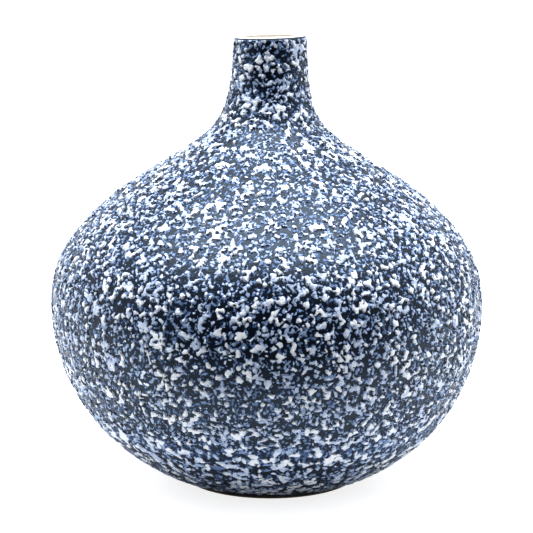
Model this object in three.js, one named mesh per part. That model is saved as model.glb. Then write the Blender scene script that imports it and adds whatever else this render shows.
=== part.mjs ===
// A ceramic bud vase: a squat round belly, a soft shoulder and a short narrow neck.
// It is one clay casting with five coats of glaze fired onto it, and each coat is its own solid.
// Millimetres, +Z up, origin at the centre of the foot ring's resting face.

import * as THREE from 'three';

// Driving dimensions
const SIDES = 32; // facets round the axis
const OUTSIDE_STEPS = 20; // facets from the foot to the lip, outside
const INSIDE_STEPS = 18; // facets from the floor to the lip, inside
const LIP_STEPS = 6; // facets over the lip's round

const SPLATTER_COAT = 0.25; // raised white drops, as their mean thickness
const GROUND_COAT = 0.45; // dark blue coat under the drops
const LINER_COAT = 0.5; // cream coat inside
const RECESS_COAT = 0.5; // coat in the hollow of the foot
const OUTER_COATS = SPLATTER_COAT + GROUND_COAT;

const WALL_AT_FOOT = 4.2; // coats and clay together
const WALL_AT_LIP = 2.1;
const FLOOR_HEIGHT = 6.8; // top of the liner at the axis
const FLOOR_FLAT_RADIUS = 14;

const FOOT_RADIUS = 20.2; // outer edge of the resting face
const FOOT_INNER_RADIUS = 16.4; // inner edge of the resting face
const RECESS_RADIUS = 15.6;
const RECESS_HEIGHT = 1.6; // resting face up to the coat in the hollow

const LIP_HEIGHT = 103.4; // where the lip's low round starts
const LIP_ROUND = 0.35; // height of the round above that
const LIP_COAT = 0.25; // coat on top of the lip

// Outside of the fired vase, as radius and height, from the glaze line above the foot to the lip.
const OUTSIDE = [
  [21.6, 0.8],
  [28.6, 4.3],
  [36.6, 10.3],
  [43.2, 18.3],
  [48.0, 28.8],
  [50.0, 40.3],
  [48.8, 50.3],
  [44.5, 58.3],
  [36.6, 66.3],
  [28.0, 72.4],
  [20.0, 77.4],
  [13.5, 82.3],
  [10.55, 87.0],
  [9.15, 92.3],
  [8.65, 97.6],
  [8.3, LIP_HEIGHT],
].map(([radius, height]) => new THREE.Vector2(radius, height));

// Moves each point of an open outline square to it, by a distance that may vary along it.
// A positive distance goes to the left of the outline's direction. Both ends move level.
function moved(outline, distanceAt) {
  const last = outline.length - 1;
  return outline.map((point, i) => {
    const before = outline[Math.max(i - 1, 0)];
    const after = outline[Math.min(i + 1, last)];
    const along = after.clone().sub(before).normalize();
    const left = i === 0 || i === last
      ? new THREE.Vector2(-1, 0)
      : new THREE.Vector2(-along.y, along.x);
    return point.clone().addScaledVector(left, distanceAt(i / last));
  });
}

const evenly = (distance) => () => distance;

// The wall thins steadily from the foot to the lip.
const wallAt = (part) => THREE.MathUtils.lerp(WALL_AT_FOOT, WALL_AT_LIP, part);

// Inside of the fired vase: a level floor, then the outside moved in by the wall.
function insideOutline() {
  const wall = moved(OUTSIDE, wallAt).slice(2);
  const floor = [
    new THREE.Vector2(0, FLOOR_HEIGHT),
    new THREE.Vector2(FLOOR_FLAT_RADIUS, FLOOR_HEIGHT + 0.2),
    new THREE.Vector2(2 * FLOOR_FLAT_RADIUS, FLOOR_HEIGHT + 2.4),
  ];
  return new THREE.SplineCurve([...floor, ...wall]).getPoints(INSIDE_STEPS);
}

// The clay's side of the liner. It stays on the axis at the floor, straight under the liner.
function behindLiner(inside) {
  const outline = moved(inside, evenly(-LINER_COAT));
  outline[0].set(0, FLOOR_HEIGHT - LINER_COAT);
  return outline;
}

// Half an ellipse over the lip, from the outer radius to the inner one.
function lipRound(outerRadius, innerRadius, height) {
  const middle = (outerRadius + innerRadius) / 2;
  const half = (outerRadius - innerRadius) / 2;
  const outline = [new THREE.Vector2(outerRadius, LIP_HEIGHT)];
  for (let step = 1; step < LIP_STEPS; step += 1) {
    const angle = (Math.PI * step) / LIP_STEPS;
    outline.push(new THREE.Vector2(
      middle + half * Math.cos(angle),
      LIP_HEIGHT + height * Math.sin(angle),
    ));
  }
  outline.push(new THREE.Vector2(innerRadius, LIP_HEIGHT));
  return outline;
}

const outside = new THREE.SplineCurve(OUTSIDE).getPoints(OUTSIDE_STEPS);
const groundFace = moved(outside, evenly(SPLATTER_COAT));
const clayFace = moved(outside, evenly(OUTER_COATS));
const inside = insideOutline();
const clayInside = behindLiner(inside);

const lipOuter = outside.at(-1).x;
const lipInner = inside.at(-1).x;
const clayLipOuter = clayFace.at(-1).x;
const clayLipInner = clayInside.at(-1).x;
const clayLip = lipRound(clayLipOuter, clayLipInner, LIP_ROUND - LIP_COAT);

const recessRoof = RECESS_HEIGHT + RECESS_COAT;

function turned(name, outline, look) {
  const geometry = new THREE.LatheGeometry(outline, SIDES);
  geometry.rotateX(Math.PI / 2);
  const mesh = new THREE.Mesh(geometry, new THREE.MeshStandardMaterial({ metalness: 0, ...look }));
  mesh.name = name;
  return mesh;
}

// A coat between two outlines of the same length, closed on itself.
function coat(outer, inner) {
  return [...outer, ...[...inner].reverse(), outer[0].clone()];
}

function clayBody() {
  const foot = [
    new THREE.Vector2(0, recessRoof),
    new THREE.Vector2(RECESS_RADIUS, recessRoof),
    new THREE.Vector2(RECESS_RADIUS, RECESS_HEIGHT),
    new THREE.Vector2(FOOT_INNER_RADIUS, 0),
    new THREE.Vector2(FOOT_RADIUS, 0),
  ];
  const walls = [...clayFace, ...clayLip.slice(1, -1), ...[...clayInside].reverse()];
  return turned('clay_body', [...foot, ...walls], { color: 0xcbbba0, roughness: 0.85 });
}

function groundGlaze() {
  return turned('ground_glaze', coat(groundFace, clayFace), { color: 0x141f33, roughness: 0.35 });
}

function splatterGlaze() {
  return turned('splatter_glaze', coat(outside, groundFace), { color: 0xe6ebf2, roughness: 0.45 });
}

function lipGlaze() {
  const top = lipRound(lipOuter, lipInner, LIP_ROUND);
  const edge = groundFace.at(-1).clone(); // the seam between the two outer coats meets it here
  const outline = [...top, ...[...clayLip].reverse(), edge, top[0].clone()];
  return turned('lip_glaze', outline, { color: 0xf4f2ec, roughness: 0.25 });
}

function linerGlaze() {
  const outline = [...clayInside, ...[...inside].reverse()];
  return turned('liner_glaze', outline, { color: 0xd9c9ad, roughness: 0.2 });
}

function recessGlaze() {
  const outline = [
    new THREE.Vector2(0, RECESS_HEIGHT),
    new THREE.Vector2(RECESS_RADIUS, RECESS_HEIGHT),
    new THREE.Vector2(RECESS_RADIUS, recessRoof),
    new THREE.Vector2(0, recessRoof),
  ];
  return turned('recess_glaze', outline, { color: 0xd9c9ad, roughness: 0.25 });
}

const vase = new THREE.Group();
vase.add(
  clayBody(),
  groundGlaze(),
  splatterGlaze(),
  lipGlaze(),
  linerGlaze(),
  recessGlaze(),
);

export default vase;
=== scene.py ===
"""Looks for the ceramic bud vase: clay, five coats of glaze, and the drops of the splatter as real relief.

Metres, +Z up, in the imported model's own frame. The vase is one turned shape, so every piece starts as an
outline of radius and height, in millimetres. That is turned round the Z axis, and then bent a little, as hand
work is.
"""
import math

import bpy
import numpy as np
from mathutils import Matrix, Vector


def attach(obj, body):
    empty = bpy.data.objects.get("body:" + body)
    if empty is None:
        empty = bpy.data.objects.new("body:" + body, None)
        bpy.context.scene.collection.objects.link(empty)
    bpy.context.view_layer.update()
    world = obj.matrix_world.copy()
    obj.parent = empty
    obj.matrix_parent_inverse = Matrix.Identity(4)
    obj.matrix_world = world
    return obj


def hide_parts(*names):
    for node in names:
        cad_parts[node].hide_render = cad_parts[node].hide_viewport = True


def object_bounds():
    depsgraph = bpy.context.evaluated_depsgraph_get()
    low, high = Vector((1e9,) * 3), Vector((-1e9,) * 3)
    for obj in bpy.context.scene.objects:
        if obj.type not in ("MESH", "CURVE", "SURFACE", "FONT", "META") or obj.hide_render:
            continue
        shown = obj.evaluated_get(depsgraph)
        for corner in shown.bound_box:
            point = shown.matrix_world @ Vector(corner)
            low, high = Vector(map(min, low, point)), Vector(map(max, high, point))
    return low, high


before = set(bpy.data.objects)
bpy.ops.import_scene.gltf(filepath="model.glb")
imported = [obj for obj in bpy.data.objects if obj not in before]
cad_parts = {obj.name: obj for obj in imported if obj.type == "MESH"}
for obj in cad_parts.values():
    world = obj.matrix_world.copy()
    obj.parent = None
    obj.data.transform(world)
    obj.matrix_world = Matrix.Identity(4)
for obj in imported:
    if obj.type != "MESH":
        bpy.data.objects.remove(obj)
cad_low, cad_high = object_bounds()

MM = 0.001
HEIGHT = cad_high.z

# The same driving dimensions as the CAD model, in millimetres.
OUTSIDE = [
    (21.6, 0.8), (28.6, 4.3), (36.6, 10.3), (43.2, 18.3),
    (48.0, 28.8), (50.0, 40.3), (48.8, 50.3), (44.5, 58.3),
    (36.6, 66.3), (28.0, 72.4), (20.0, 77.4), (13.5, 82.3),
    (10.55, 87.0), (9.15, 92.3), (8.65, 97.6), (8.3, 103.4),
]
SPLATTER_COAT = 0.25
GROUND_COAT = 0.45
LINER_COAT = 0.5
RECESS_COAT = 0.5
WALL_AT_FOOT = 4.2
WALL_AT_LIP = 2.1
FLOOR_HEIGHT = 6.8
FLOOR_FLAT_RADIUS = 14.0
FOOT_RADIUS = 20.2
FOOT_INNER_RADIUS = 16.4
RECESS_RADIUS = 15.6
RECESS_HEIGHT = 1.6
LIP_HEIGHT = 103.4
LIP_ROUND = 0.35
LIP_COAT = 0.25


# ---------------------------------------------------------------- outlines

def spline(points, steps):
    """A Catmull-Rom curve through the points, the one that the CAD model uses."""
    p = np.asarray(points, float)
    last = len(p) - 1
    along = np.linspace(0, last, steps + 1)
    i = np.minimum(along.astype(int), last - 1)
    t = (along - i)[:, None]
    p0, p1 = p[np.maximum(i - 1, 0)], p[i]
    p2, p3 = p[np.minimum(i + 1, last)], p[np.minimum(i + 2, last)]
    v0, v1 = (p2 - p0) / 2, (p3 - p1) / 2
    return (2 * p1 - 2 * p2 + v0 + v1) * t**3 + (3 * p2 - 3 * p1 - 2 * v0 - v1) * t**2 + v0 * t + p1


def lengths(outline):
    """How far along the outline each of its points is."""
    steps = np.hypot(*np.diff(outline, axis=0).T)
    return np.concatenate([[0.0], np.cumsum(steps)])


def even(outline, spacing):
    """The outline again, with points about spacing apart."""
    s = lengths(outline)
    at = np.linspace(0, s[-1], max(2, int(round(s[-1] / spacing)) + 1))
    return np.column_stack([np.interp(at, s, outline[:, k]) for k in (0, 1)])


def inset(outline, distance):
    """The outline moved to its left by a distance, or by one distance per point. Both ends move level."""
    along = np.gradient(outline, axis=0)
    along /= np.hypot(*along.T)[:, None]
    left = np.column_stack([-along[:, 1], along[:, 0]])
    left[[0, -1]] = (-1, 0)
    return outline + left * np.reshape(distance, (-1, 1))


def lip_round(outer, inner, height, steps):
    """Half an ellipse over the lip, from the outer radius to the inner one."""
    a = np.linspace(0, math.pi, steps + 1)
    return np.column_stack([
        (outer + inner) / 2 + (outer - inner) / 2 * np.cos(a),
        LIP_HEIGHT + height * np.sin(a),
    ])


def inside_outline():
    """The liner's free face, from the floor's middle up to the lip."""
    points = np.asarray(OUTSIDE, float)
    wall = np.linspace(WALL_AT_FOOT, WALL_AT_LIP, len(points))
    floor = [
        (0, FLOOR_HEIGHT),
        (FLOOR_FLAT_RADIUS, FLOOR_HEIGHT + 0.2),
        (2 * FLOOR_FLAT_RADIUS, FLOOR_HEIGHT + 2.4),
    ]
    return spline(np.vstack([floor, inset(points, wall)[2:]]), 400)


outside = spline(OUTSIDE, 600)
inside = inside_outline()


# ---------------------------------------------------------------- turned meshes

LEAN = 0.9 * MM  # how far the belly stands out to one side of the line from foot to lip
LIP_TILT = 0.03  # the lip's slope, which only reaches down the top of the neck
TILT_FROM = 96 * MM
OVAL = 0.0022  # how much of its radius the belly is out of round, as an oval
THREE_SIDED = 0.0012  # and as a round with three soft sides


def handmade(co):
    """Bends the ideal shape as a fired pot is bent: the belly to one side, and the lip out of level."""
    x, y, z = co.T.copy()
    bow = np.sin(np.pi * np.clip(z / HEIGHT, 0, 1)) ** 1.5
    top = np.clip((z - TILT_FROM) / (HEIGHT - TILT_FROM), 0, 1) ** 2
    turn = np.arctan2(y, x)
    out_of_round = OVAL * np.sin(2 * turn + 0.7) + THREE_SIDED * np.sin(3 * turn + 2.1)
    wobble = 1 + bow * out_of_round
    return np.column_stack([x * wobble - LEAN * bow, y * wobble, z + LIP_TILT * top * x])


def stitch(lower, upper):
    """Faces between two rings of lower and upper steps: for each kind of face, its corners' sides and steps.

    The rings have as many steps as each other, or one has twice the other's, or one is a single point.
    A corner's side is 0 on the lower ring and 1 on the upper one, and its step counts round that ring.
    """
    fewer, more = sorted((lower, upper))
    j = np.arange(more if fewer == 1 else fewer)
    if lower == upper:
        kinds = [[(0, j), (0, j + 1), (1, j + 1), (1, j)]]
    elif lower == 1:
        kinds = [[(0, j), (1, j + 1), (1, j)]]
    elif upper == 1:
        kinds = [[(0, j), (0, j + 1), (1, j)]]
    elif lower == 2 * upper:
        kinds = [
            [(0, 2 * j), (0, 2 * j + 1), (1, j)],
            [(0, 2 * j + 1), (0, 2 * j + 2), (1, j + 1), (1, j)],
        ]
    else:
        kinds = [
            [(0, j), (1, 2 * j + 1), (1, 2 * j)],
            [(0, j), (0, j + 1), (1, 2 * j + 2), (1, 2 * j + 1)],
        ]
    return [
        (np.tile([side for side, _ in kind], (len(j), 1)), np.stack([step for _, step in kind], 1))
        for kind in kinds
    ]


MAP_EDGE = 0.006  # free border of each half of the bake map
HIDDEN_SHARE = 0.1  # how much of its own size a hidden ring gets on the bake map


def inside_edge(part):
    """A place from 0 to 1 on half of the bake map, moved in from that half's edges."""
    return MAP_EDGE + (1 - 2 * MAP_EDGE) * part


def made_object(name, ideal, loops, sizes, flat):
    """An object of the bent points, with its bake map and each point's place at rest, before the bend.

    loops is each face corner's point, sizes is each face's number of corners, and flat is the corners' places
    on the bake map.
    """
    me = bpy.data.meshes.new(name)
    me.vertices.add(len(ideal))
    me.loops.add(len(loops))
    me.polygons.add(len(sizes))
    me.vertices.foreach_set("co", handmade(ideal).astype(np.float32).ravel())
    me.loops.foreach_set("vertex_index", loops.astype(np.int32))
    me.polygons.foreach_set("loop_start", np.concatenate([[0], np.cumsum(sizes)[:-1]]).astype(np.int32))
    me.update(calc_edges=True)
    me.validate()
    me.uv_layers.new(name="OFBake")
    me.uv_layers["OFBake"].data.foreach_set("uv", flat.astype(np.float32).ravel())
    rest = me.attributes.new("rest", "FLOAT_VECTOR", "POINT")
    rest.data.foreach_set("vector", ideal.astype(np.float32).ravel())
    me.shade_smooth()
    ob = bpy.data.objects.new(name, me)
    bpy.context.collection.objects.link(ob)
    return ob


def turned(name, outline, around, closed=False, hidden=None):
    """A mesh of the outline turned round Z. around is the steps round each ring, or one number for all.

    Its bake map is the surface unrolled in two half turns, and rings that are hidden get little of it.
    """
    rings = np.asarray(outline, float) * MM
    count = np.broadcast_to(around, len(rings)).copy()
    count[rings[:, 0] < 1e-9] = 1
    first = np.concatenate([[0], np.cumsum(count)])
    ring_of = np.repeat(np.arange(len(rings)), count)
    angle = 2 * np.pi * (np.arange(first[-1]) - first[ring_of]) / count[ring_of]
    radius, height = rings[ring_of].T
    ideal = np.column_stack([radius * np.cos(angle), radius * np.sin(angle), height])

    pairs = [(k, k + 1) for k in range(len(rings) - 1)] + ([(len(rings) - 1, 0)] if closed else [])
    loop = np.vstack([rings, rings[:1]]) if closed else rings
    share = np.hypot(*np.diff(loop, axis=0).T)
    if hidden is not None:
        share = np.where(hidden[: len(share)], share * HIDDEN_SHARE, share)
    down = np.concatenate([[0], np.cumsum(share)]) / share.sum()

    corners, sizes, maps = [], [], []
    for k, ends in enumerate(pairs):
        if count[ends[0]] == 1 and count[ends[1]] == 1:
            continue
        for side, step in stitch(count[ends[0]], count[ends[1]]):
            ring = np.where(side == 0, *ends)
            pole = count[ring] == 1
            part = np.where(pole, np.nan, step / count[ring])
            middle = np.nanmean(part, axis=1, keepdims=True)
            half = np.floor(middle * 2)
            u = np.where(pole, middle, part) * 2 - half
            v = np.where(side == 0, down[k], down[k + 1])
            corners.append(first[ring] + step % count[ring])
            sizes.append(np.full(len(side), side.shape[1]))
            maps.append(np.stack([inside_edge(u), (inside_edge(v) + half) / 2], 2))
    return made_object(
        name,
        ideal,
        np.concatenate([c.ravel() for c in corners]),
        np.concatenate(sizes),
        np.concatenate([m.reshape(-1, 2) for m in maps]),
    )


# ---------------------------------------------------------------- nodes

class Nodes:
    """Short calls for the texture and math nodes that shader trees and geometry trees share."""

    def __init__(self, tree):
        self.tree = tree

    def node(self, kind, inputs=(), **settings):
        n = self.tree.nodes.new(kind)
        for key, value in settings.items():
            setattr(n, key, value)
        for key, value in dict(inputs).items():
            self.feed(n.inputs[key], value)
        return n

    def feed(self, socket, value):
        if isinstance(value, bpy.types.NodeSocket):
            self.tree.links.new(value, socket)
        else:
            socket.default_value = value

    def math(self, operation, *values):
        return self.node("ShaderNodeMath", enumerate(values), operation=operation).outputs[0]

    def add(self, a, b):
        return self.math("ADD", a, b)

    def times(self, a, b):
        return self.math("MULTIPLY", a, b)

    def less(self, a, b):
        return self.math("SUBTRACT", a, b)

    def vector(self, operation, a, b):
        return self.node("ShaderNodeVectorMath", {0: a, 1: b}, operation=operation).outputs[0]

    def scale(self, a, factor):
        return self.node("ShaderNodeVectorMath", {0: a, "Scale": factor}, operation="SCALE").outputs[0]

    def part(self, vector, axis):
        return self.node("ShaderNodeSeparateXYZ", {0: vector}).outputs[axis]

    def noise(self, place, per_mm, detail=0.0, roughness=0.5, output=0):
        """Noise from 0 to 1 at a place in millimetres. Output 0 is one number, and output 1 is three."""
        inputs = {"Vector": place, "Scale": per_mm, "Detail": detail, "Roughness": roughness}
        return self.node("ShaderNodeTexNoise", inputs).outputs[output]

    def signed(self, place, per_mm, detail=0.0, roughness=0.5):
        """The same noise from -0.5 to 0.5."""
        return self.less(self.noise(place, per_mm, detail, roughness), 0.5)

    def cells(self, place, per_mm, smoothness):
        """The distance to the middle of the nearest cell, as a share of a cell's width."""
        inputs = {"Vector": place, "Scale": per_mm, "Smoothness": smoothness}
        return self.node("ShaderNodeTexVoronoi", inputs, feature="SMOOTH_F1").outputs["Distance"]

    def ease(self, value, low, high, to_low=0.0, to_high=1.0):
        """A soft step: to_low where the value is under low, and to_high where it is over high."""
        n = self.node("ShaderNodeMapRange", interpolation_type="SMOOTHSTEP")
        for i, v in enumerate((value, low, high, to_low, to_high)):
            self.feed(n.inputs[i], v)
        return n.outputs[0]

    def ramp(self, value, stops):
        """A colour for each value from 0 to 1, mixed between stops of a value and its colour."""
        n = self.node("ShaderNodeValToRGB", {0: value})
        elements = n.color_ramp.elements
        while len(elements) < len(stops):
            elements.new(0.5)
        for element, (position, colour) in zip(elements, stops):
            element.position = position
            element.color = (*colour, 1)
        return n.outputs[0]

    def mix(self, factor, a, b):
        """Colour a where the factor is 0, and colour b where it is 1."""
        n = self.node("ShaderNodeMix", data_type="RGBA")
        for name, value in (("Factor_Float", factor), ("A_Color", a), ("B_Color", b)):
            socket = next(s for s in n.inputs if s.identifier == name)
            if isinstance(value, tuple) and len(value) == 3:
                value = (*value, 1)
            self.feed(socket, value)
        return next(s for s in n.outputs if s.identifier == "Result_Color")


WAVE = 1.6  # the pattern is bent to and fro by half of this, in millimetres
CELL_MIDDLE = 0.43  # the distance from a cell's middle at which it adds nothing
CELL_STRENGTH = 1.5
APART = (31.0, 17.0, 5.0)  # the thin drops' pattern comes from this far away, to differ from the thick ones'
BLUR = 0.12  # how far two layers melt into each other where they are equally thick
LUMP_BLUR = 0.06
LUMP_SQUEEZE = (0.74, 0.74, 0.64)  # places are squeezed by this for the lumps, so they are larger and taller


def blobs(n, place, clouds_per_mm, detail, strength, cells_per_mm, smoothness):
    """Blobs as heights over and under zero: clouds make them run together, and cells keep them apart."""
    clouds = n.times(n.signed(place, clouds_per_mm, detail), strength)
    cells = n.less(CELL_MIDDLE, n.cells(place, cells_per_mm, smoothness))
    return n.add(clouds, n.times(cells, CELL_STRENGTH))


def layers(n, place, extra, grain):
    """The thicknesses from 0 to 1 of two layers: thick white drops that run together, and thin small ones.

    extra is how much more of the surface the thick ones cover, and less of it where it is negative.
    """
    drift = n.vector("SUBTRACT", n.noise(place, 0.45, 1.0, output=1), (0.5, 0.5, 0.5))
    wavy = n.vector("ADD", place, n.scale(drift, WAVE))
    fine = n.times(n.signed(place, 1.9, 2.0, 0.6), grain)

    thick = blobs(n, wavy, clouds_per_mm=0.56, detail=1.6, strength=2.3, cells_per_mm=0.72, smoothness=0.12)
    thick = n.add(n.add(thick, n.times(fine, 1.05)), extra)
    crowded = n.times(n.signed(place, 0.16), 0.4)
    thick = n.ease(n.add(thick, crowded), -0.11, 0.20)

    aside = n.vector("ADD", wavy, APART)
    thin = blobs(n, aside, clouds_per_mm=0.9, detail=1.5, strength=1.8, cells_per_mm=1.1, smoothness=0.1)
    thin = n.ease(n.add(thin, n.times(fine, 0.95)), -0.16, 0.20)

    # Where the batch is rich the thick drops are whiter, and the thin ones are fainter.
    batch = n.noise(place, 0.25, 1.0)
    thick = n.times(thick, n.ease(batch, 0.36, 0.60, 0.70, 1.0))
    thin = n.times(thin, n.ease(batch, 0.30, 0.70, 0.68, 0.40))
    return thick, thin


def drops(n, place, grain=1.0):
    """The splatter's thickness from 0 to 1 at a place on the outside, for shaders and for geometry alike.

    The usual drops have larger lumps laid over them: a few on the belly and the shoulder, more on the neck,
    and most at the foot, where lumps and the thin drops of their size take the usual ones' place.
    grain is how much of the finest unevenness the drops' edges have.
    """
    height = n.part(place, 2)
    near_foot = n.ease(height, 12.0, 21.0, 1.0, 0.0)
    usual = n.math("SMOOTH_MAX", *layers(n, place, -0.03, grain), BLUR)
    extra = n.add(n.ease(height, 14.0, 26.0, 0.06, -0.40), n.ease(height, 82.0, 89.0, 0.0, 0.20))
    lumps, wash = layers(n, n.vector("MULTIPLY", place, LUMP_SQUEEZE), extra, grain)
    coarse = n.math("SMOOTH_MAX", lumps, wash, BLUR)
    both = n.add(n.times(coarse, near_foot), n.times(usual, n.less(1.0, near_foot)))
    both = n.math("SMOOTH_MAX", both, lumps, LUMP_BLUR)
    bare_foot = n.ease(height, 0.9, 2.6)
    bare_lip = n.ease(height, 102.95, 103.25, 1.0, 0.0)
    return n.times(both, n.times(bare_foot, bare_lip))


# ---------------------------------------------------------------- relief

RELIEF = 0.38 * MM  # how far the thickest drops stand above the dark coat
TUCK = 0.05 * MM  # how far the drops' skin goes under the dark coat at their edges
SUNK_SHARE = 0.98  # skin that is at least this share of the tuck under the dark coat is cut away
LEAST_FACES = 16  # patches of the skin with fewer faces are left out
SMOOTH_GRAIN = 0.3  # the relief's share of the finest unevenness, which the skin's grid is too coarse for


def raise_drops(ob):
    """Lifts the skin into drops, and cuts away what stays under the dark coat and specks of a few faces.

    The drops stand half as high near the foot.
    """
    tree = bpy.data.node_groups.new("raise_drops", "GeometryNodeTree")
    tree.interface.new_socket("Geometry", in_out="INPUT", socket_type="NodeSocketGeometry")
    tree.interface.new_socket("Geometry", in_out="OUTPUT", socket_type="NodeSocketGeometry")
    n = Nodes(tree)
    skin = n.node("NodeGroupInput").outputs[0]
    rest = n.node("GeometryNodeInputNamedAttribute", {"Name": "rest"}, data_type="FLOAT_VECTOR").outputs[0]
    thickness = drops(n, n.scale(rest, 1 / MM), SMOOTH_GRAIN)
    full = n.ease(n.part(rest, 2), 4 * MM, 26 * MM, RELIEF / 2, RELIEF)
    lift = n.less(n.times(n.ease(thickness, 0.0, 0.9), n.add(full, TUCK)), TUCK)
    normal = n.node("GeometryNodeInputNormal").outputs[0]
    marked = n.node(
        "GeometryNodeStoreNamedAttribute",
        {"Geometry": skin, "Name": "sunk", "Value": n.math("LESS_THAN", lift, -SUNK_SHARE * TUCK)},
        data_type="FLOAT",
        domain="POINT",
    )
    offset = n.scale(normal, lift)
    raised = n.node("GeometryNodeSetPosition", {"Geometry": marked.outputs[0], "Offset": offset})

    # On faces the mark is the mean of the corners' marks, so a face goes if any of its corners is sunk.
    sunk = n.node("GeometryNodeInputNamedAttribute", {"Name": "sunk"}, data_type="FLOAT").outputs[0]
    cut = n.node(
        "GeometryNodeDeleteGeometry",
        {"Geometry": raised.outputs[0], "Selection": n.math("GREATER_THAN", sunk, 0.01)},
        domain="FACE",
    )
    patch = n.node("GeometryNodeInputMeshIsland").outputs[0]
    faces = n.node("GeometryNodeAccumulateField", {"Value": 1.0, "Group ID": patch}, domain="FACE")
    kept = n.node(
        "GeometryNodeDeleteGeometry",
        {"Geometry": cut.outputs[0], "Selection": n.math("LESS_THAN", faces.outputs["Total"], LEAST_FACES)},
        domain="FACE",
    )
    n.node("NodeGroupOutput", {0: kept.outputs[0]})

    modifier = ob.modifiers.new("raise_drops", "NODES")
    modifier.node_group = tree
    made = bpy.data.meshes.new_from_object(ob.evaluated_get(bpy.context.evaluated_depsgraph_get()))
    ob.modifiers.clear()
    old, ob.data = ob.data, made
    made.name = old.name
    bpy.data.meshes.remove(old)
    made.attributes.remove(made.attributes["sunk"])
    made.shade_smooth()


# ---------------------------------------------------------------- materials

# From the bare dark coat, through a darker ring of painted shade round each drop's edge, then blue where the
# splatter is thin, to white where it is thick.
SPLATTER_COLOURS_AND_EDGE_SHADE = [
    (0.00, (0.0035, 0.0095, 0.019)),
    # painted shade: this stop is darker than the bare coat, so each drop gets a dark rim
    (0.03, (0.0005, 0.0026, 0.010)),
    (0.11, (0.002, 0.012, 0.042)),
    (0.27, (0.032, 0.078, 0.19)),
    (0.45, (0.165, 0.25, 0.41)),
    (0.62, (0.39, 0.475, 0.64)),
    (0.80, (0.66, 0.70, 0.78)),
    (1.00, (0.83, 0.84, 0.85)),
]


def material(name, **settings):
    """A new material with a Principled shader, which gets the settings, and its node helper."""
    m = bpy.data.materials.new(name)
    m.use_nodes = True
    shader = m.node_tree.nodes["Principled BSDF"]
    for key, value in settings.items():
        shader.inputs[key.replace("_", " ")].default_value = value
    return m, Nodes(m.node_tree), shader


def place_at_rest(n):
    """The place on the vase before it was bent, in millimetres."""
    rest = n.node("ShaderNodeAttribute", attribute_name="rest").outputs["Vector"]
    return n.scale(rest, 1 / MM)


def bump(n, shader, height):
    """Unevenness too fine for the mesh, as a height in metres."""
    made = n.node("ShaderNodeBump", {"Height": height, "Distance": 1.0, "Strength": 1.0})
    n.feed(shader.inputs["Normal"], made.outputs[0])


def splatter_material():
    m, n, shader = material("white_splatter_glaze")
    place = place_at_rest(n)
    thickness = drops(n, place)
    mottle = n.times(n.signed(place, 1.3, 2.5), 0.50)
    # The ramp's darker stop paints shade round the edges of the drops.
    colour = n.ramp(n.add(thickness, n.times(mottle, thickness)), SPLATTER_COLOURS_AND_EDGE_SHADE)
    n.feed(shader.inputs["Base Color"], colour)
    n.feed(shader.inputs["Roughness"], n.ease(n.noise(place, 0.9, 2.0), 0.3, 0.7, 0.38, 0.56))
    bump(n, shader, n.add(n.times(n.signed(place, 2.2, 2.0), 0.22 * MM), n.times(thickness, 0.26 * MM)))
    return m


def ground_material():
    m, n, shader = material("dark_blue_glaze", Specular_IOR_Level=0.54, Specular_Tint=(0.72, 0.86, 1, 1))
    place = place_at_rest(n)
    thickness = drops(n, place)
    mottle = n.times(n.signed(place, 0.7, 3.0), 0.05)
    # The ramp's darker stop paints shade on the dark coat round each drop.
    colour = n.ramp(n.add(thickness, mottle), SPLATTER_COLOURS_AND_EDGE_SHADE)
    n.feed(shader.inputs["Base Color"], colour)
    n.feed(shader.inputs["Roughness"], n.ease(n.noise(place, 0.6, 3.0), 0.3, 0.7, 0.28, 0.38))
    bump(n, shader, n.times(n.signed(place, 2.4, 3.0), 0.10 * MM))
    return m


def lip_material():
    m, n, shader = material("white_lip_glaze")
    place = place_at_rest(n)
    shade = n.noise(place, 0.5, 3.0)
    white = n.mix(n.ease(shade, 0.35, 0.7), (0.86, 0.84, 0.79), (0.72, 0.72, 0.72))
    n.feed(shader.inputs["Base Color"], white)
    n.feed(shader.inputs["Roughness"], n.ease(shade, 0.3, 0.7, 0.22, 0.38))
    bump(n, shader, n.times(n.signed(place, 1.2, 2.0), 0.05 * MM))
    return m


def cream_material(name):
    m, n, shader = material(name)
    place = place_at_rest(n)
    shade = n.noise(place, 0.16, 4.0)
    specks = n.ease(n.noise(place, 1.4, 1.0), 0.70, 0.76)
    cream = n.mix(n.ease(shade, 0.3, 0.7), (0.33, 0.27, 0.19), (0.40, 0.34, 0.25))
    n.feed(shader.inputs["Base Color"], n.mix(n.times(specks, 0.5), cream, (0.30, 0.20, 0.11)))
    n.feed(shader.inputs["Roughness"], n.ease(n.noise(place, 0.5, 2.0), 0.3, 0.7, 0.16, 0.32))
    bump(n, shader, n.times(n.signed(place, 0.8, 2.0), 0.06 * MM))
    return m


def clay_material():
    m, n, shader = material("bare_clay")
    place = place_at_rest(n)
    shade = n.noise(place, 0.3, 5.0, 0.6)
    grog = n.ease(n.noise(place, 2.6, 1.0), 0.62, 0.72)
    clay = n.mix(n.ease(shade, 0.3, 0.7), (0.50, 0.40, 0.28), (0.64, 0.54, 0.41))
    n.feed(shader.inputs["Base Color"], n.mix(n.times(grog, 0.7), clay, (0.20, 0.13, 0.08)))
    n.feed(shader.inputs["Roughness"], n.ease(shade, 0.3, 0.7, 0.80, 0.95))
    bump(n, shader, n.times(n.signed(place, 3.0, 3.0, 0.6), 0.14 * MM))
    return m


# ---------------------------------------------------------------- pieces

GRID = 0.37  # spacing of the drops' skin, in millimetres
BELLY_STEPS = 880  # steps round the drops' skin where it is widest
HALVED_UNDER = 27.0  # radius under which the skin takes half the steps
QUARTERED_UNDER = 13.0
PLAIN_STEPS = 256  # steps round the other pieces
LIP_OVERHANG = 0.02  # how far the lip's coat hangs over the edge of the dark coat
POOL_EDGE = 0.35  # the recess's coat pools along its edge, in steps of this
POOL_DEPTH = 0.2  # and is this much thicker there
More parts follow.
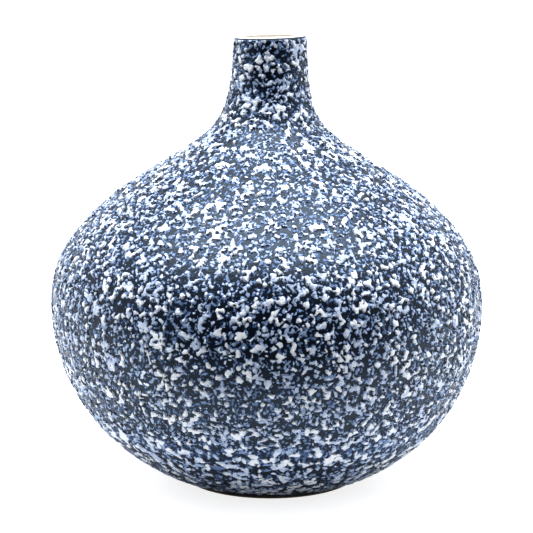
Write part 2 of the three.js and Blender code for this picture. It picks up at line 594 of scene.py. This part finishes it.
# The foot ring's edges are worn: each is cut off between two points.
WORN_INNER_EDGE = [(FOOT_INNER_RADIUS - 0.15, 0.12), (FOOT_INNER_RADIUS + 0.25, 0)]
WORN_OUTER_EDGE = [(FOOT_RADIUS - 0.3, 0), (FOOT_RADIUS, 0.1)]

ground_face = inset(outside, SPLATTER_COAT)
clay_face = inset(outside, SPLATTER_COAT + GROUND_COAT)
clay_inside = inset(inside, -LINER_COAT)
clay_inside[0] = (0, FLOOR_HEIGHT - LINER_COAT)
recess_roof = RECESS_HEIGHT + RECESS_COAT


def finish_piece(ob, finish, node):
    """Gives the piece its material and its body, and hides the CAD node whose place it takes."""
    ob.data.materials.clear()
    ob.data.materials.append(finish)
    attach(ob, "root")
    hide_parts(node)


def steps_for(outline):
    """The steps round each ring of the drops' skin: fewer where it is narrow, so its faces stay alike."""
    radius = outline[:, 0]
    narrow = [radius < QUARTERED_UNDER, radius < HALVED_UNDER]
    return np.select(narrow, [BELLY_STEPS // 4, BELLY_STEPS // 2], BELLY_STEPS)


def clay_lip():
    """The top of the clay, under the lip's coat, from the outside to the inside."""
    return lip_round(clay_face[-1, 0], clay_inside[-1, 0], LIP_ROUND - LIP_COAT, steps=10)


def clay():
    foot = np.array([
        (0, recess_roof),
        (RECESS_RADIUS, recess_roof),
        (RECESS_RADIUS, RECESS_HEIGHT),
        *WORN_INNER_EDGE,
        *WORN_OUTER_EDGE,
        clay_face[0],
    ])
    outside_wall = even(clay_face, spacing=3.0)[1:-1]
    inside_wall = even(clay_inside, spacing=3.0)[::-1][1:]
    outline = np.vstack([even(foot, spacing=0.6), outside_wall, clay_lip(), inside_wall])
    ob = turned("clay", outline, PLAIN_STEPS)
    finish_piece(ob, clay_material(), "clay_body")


def ground():
    outer = even(ground_face, spacing=1.0)
    inner = even(clay_face, spacing=4.0)[::-1]
    hidden = np.r_[np.zeros(len(outer), bool), np.ones(len(inner), bool)]
    ob = turned("ground_coat", np.vstack([outer, inner]), PLAIN_STEPS, closed=True, hidden=hidden)
    finish_piece(ob, ground_material(), "ground_glaze")


def splatter():
    outline = even(ground_face, spacing=GRID)
    ob = turned("splatter", outline, steps_for(outline))
    raise_drops(ob)
    finish_piece(ob, splatter_material(), "splatter_glaze")


def lip():
    top = lip_round(ground_face[-1, 0] + LIP_OVERHANG, inside[-1, 0], LIP_ROUND, steps=20)
    ob = turned("lip_coat", np.vstack([top, clay_lip()[::-1]]), PLAIN_STEPS, closed=True)
    finish_piece(ob, lip_material(), "lip_glaze")


def liner():
    behind = even(clay_inside, spacing=5.0)
    free = even(inside, spacing=1.5)[::-1]
    ob = turned("liner_coat", np.vstack([behind, free]), PLAIN_STEPS)
    finish_piece(ob, cream_material("cream_liner_glaze"), "liner_glaze")


def recess():
    outline = np.array([
        (0, RECESS_HEIGHT),
        (RECESS_RADIUS - 4 * POOL_EDGE, RECESS_HEIGHT),
        (RECESS_RADIUS - POOL_EDGE, RECESS_HEIGHT - 0.4 * POOL_DEPTH),
        (RECESS_RADIUS, RECESS_HEIGHT - POOL_DEPTH),
        (RECESS_RADIUS, recess_roof),
        (0, recess_roof),
    ])
    ob = turned("recess_coat", even(outline, spacing=0.6), PLAIN_STEPS)
    finish_piece(ob, cream_material("cream_recess_glaze"), "recess_glaze")


clay()
ground()
splatter()
lip()
liner()
recess()


# ---------------------------------------------------------------- stage, light and camera

CAMERA_DISTANCE = 450 * MM
CAMERA_HEIGHT = 131.6 * MM
CAMERA_ASIDE = -0.86 * MM
CAMERA_PITCH = math.radians(10.27)
LENS = 132.5  # millimetres, on a sensor 36 wide
SENSOR_WIDTH = 36

FLOOR_REACH = 3.0  # metres from the vase to each side of the floor
TABLE = (0.84, 0.84, 0.84)  # what the vase sees under it and behind it
TABLE_FRONT_PAINTED_SHADE = (0.03, 0.03, 0.03)  # painted shade on the camera's side: there the vase sees the table dark
TABLE_SHADE_FADES = (-0.135, -0.065)  # from one to the other, as places along Y in metres
SEEN_GREY = (0.42, 0.42, 0.42)  # to the camera the floor is this grey and a glow, which together are white
SEEN_GLOW = 0.85

OVERHEAD_PLACE = Vector((0, -0.08, 0.75))  # metres
OVERHEAD_AIM = Vector((0, -0.08, 0.05))
OVERHEAD_SIZE = (1.1, 0.60)
OVERHEAD_WATTS = 11.9
OVERHEAD_COLOUR = (0.94, 0.98, 1.03)

STUDIO_COLOUR = (0.97, 0.985, 1.0, 1)
VIEW_GAMMA = 0.79


def pale_floor():
    """White to the camera, and to the vase a dimmer table with painted shade on the camera's side."""
    m, n, shader = material("pale_floor", Roughness=0.9, Specular_IOR_Level=0.0, Emission_Color=(1, 1, 1, 1))
    y = n.part(n.node("ShaderNodeTexCoord").outputs["Object"], 1)
    seen = n.node("ShaderNodeLightPath").outputs["Is Camera Ray"]
    # painted shade: to the vase the table goes dark on the camera's side
    table_with_painted_shade = n.mix(n.ease(y, *TABLE_SHADE_FADES), TABLE_FRONT_PAINTED_SHADE, TABLE)
    n.feed(shader.inputs["Base Color"], n.mix(seen, table_with_painted_shade, SEEN_GREY))
    n.feed(shader.inputs["Emission Strength"], n.times(seen, SEEN_GLOW))
    return m


def floor():
    r = FLOOR_REACH
    me = bpy.data.meshes.new("floor")
    me.from_pydata([(-r, -r, 0), (r, -r, 0), (r, r, 0), (-r, r, 0)], [], [(0, 1, 2, 3)])
    ob = bpy.data.objects.new("floor", me)
    bpy.context.collection.objects.link(ob)
    me.materials.append(pale_floor())


def overhead_softbox():
    light = bpy.data.lights.new("overhead", "AREA")
    light.shape = "RECTANGLE"
    light.size, light.size_y = OVERHEAD_SIZE
    light.energy = OVERHEAD_WATTS
    light.color = OVERHEAD_COLOUR
    ob = bpy.data.objects.new("overhead", light)
    bpy.context.collection.objects.link(ob)
    ob.location = OVERHEAD_PLACE
    ob.rotation_mode = "QUATERNION"
    ob.rotation_quaternion = (OVERHEAD_AIM - OVERHEAD_PLACE).to_track_quat("-Z", "Y")


def surroundings():
    """A pale studio: bright behind and at the sides, dimmer in front, and dark where the camera stands.

    The camera itself sees it white. y is -1 straight in front of the vase and 1 straight behind it.
    """
    world = bpy.data.worlds.new("studio")
    bpy.context.scene.world = world
    world.use_nodes = True
    n = Nodes(world.node_tree)
    background = world.node_tree.nodes["Background"]
    y = n.part(n.node("ShaderNodeTexCoord").outputs["Generated"], 1)
    behind_camera = n.ease(y, -0.94, -0.82, 0.02, 1.0)
    round_the_vase = n.ease(y, -0.8, -0.1, 0.31, 1.4)
    seen = n.node("ShaderNodeLightPath").outputs["Is Camera Ray"]
    n.feed(background.inputs["Strength"], n.math("MAXIMUM", n.times(behind_camera, round_the_vase), seen))
    background.inputs["Color"].default_value = STUDIO_COLOUR


def camera():
    """The camera in front of the vase, looking down on it a little."""
    data = bpy.data.cameras.new("camera")
    data.lens = LENS
    data.sensor_width = SENSOR_WIDTH
    data.clip_start, data.clip_end = 0.01, 20
    ob = bpy.data.objects.new("camera", data)
    bpy.context.collection.objects.link(ob)
    ob.location = (CAMERA_ASIDE, -CAMERA_DISTANCE, CAMERA_HEIGHT)
    ob.rotation_euler = (math.pi / 2 - CAMERA_PITCH, 0, 0)
    bpy.context.scene.camera = ob


floor()
surroundings()
overhead_softbox()
camera()
view = bpy.context.scene.view_settings
view.view_transform = "Standard"
view.gamma = VIEW_GAMMA
